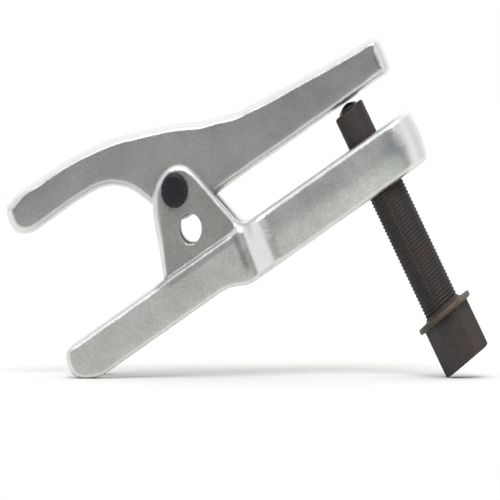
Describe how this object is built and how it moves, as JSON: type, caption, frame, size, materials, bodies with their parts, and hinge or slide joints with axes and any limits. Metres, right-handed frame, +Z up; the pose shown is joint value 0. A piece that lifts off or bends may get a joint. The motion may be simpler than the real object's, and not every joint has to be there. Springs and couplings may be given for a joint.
{
  "type": "ball joint separator",
  "caption": "Ball joint separator: forged fork body, rocking arm on a cross pin, and a hex-headed forcing screw that lifts the arm's rear so its nose presses down over the fork.",
  "frame": {"origin": "on the ground under the middle of the tool, where it stands on its two fork tips and one corner of the screw head", "axes": "+X along the tool from the jaws to the screw head, +Y across it, +Z up"},
  "size_m": [0.2498, 0.0482, 0.1319],
  "materials": {
    "forged_body": "satin, shot-blasted forging with polished edges",
    "forged_arm": "satin, shot-blasted forging with polished edges",
    "black_pin": "black oxide, satin",
    "spring_steel": "phosphated spring steel",
    "black_screw": "oiled black-brown oxide, matt",
    "thrust_steel": "hardened steel, worn black oxide"
  },
  "bodies": {
    "frame": {"lower_body": "forged_body", "pivot_pin": "black_pin", "pin_washer": "black_pin", "pin_retaining_ring": "spring_steel"},
    "arm": {"upper_arm": "forged_arm"},
    "thrust": {"thrust_point": "thrust_steel", "thrust_snap_ring": "spring_steel"},
    "screw": {"pressure_screw": "black_screw"}
  },
  "joints": [
    {"name": "arm_pivot", "type": "hinge", "parent": "frame", "child": "arm", "pos_m": [-0.0368, 0, 0.07344], "axis": [0, -1, 0], "range_deg": [-8.1, 24.7]},
    {"name": "screw_feed", "type": "slide", "parent": "frame", "child": "thrust", "axis": [-0.5349, 0, 0.8449], "range_m": [-0.013, 0.04]},
    {"name": "screw_turn", "type": "hinge", "parent": "thrust", "child": "screw", "pos_m": [0.05112, 0, 0.10636], "axis": [-0.5349, 0, 0.8449], "range_deg": [-2949, 9072]}
  ],
  "couplings": [
    {"joint": "screw_turn", "follows": "screw_feed", "rad_per_m": 3957.9},
    {"joint": "arm_pivot", "follows": "screw_feed", "rad_per_m": 10.723}
  ]
}
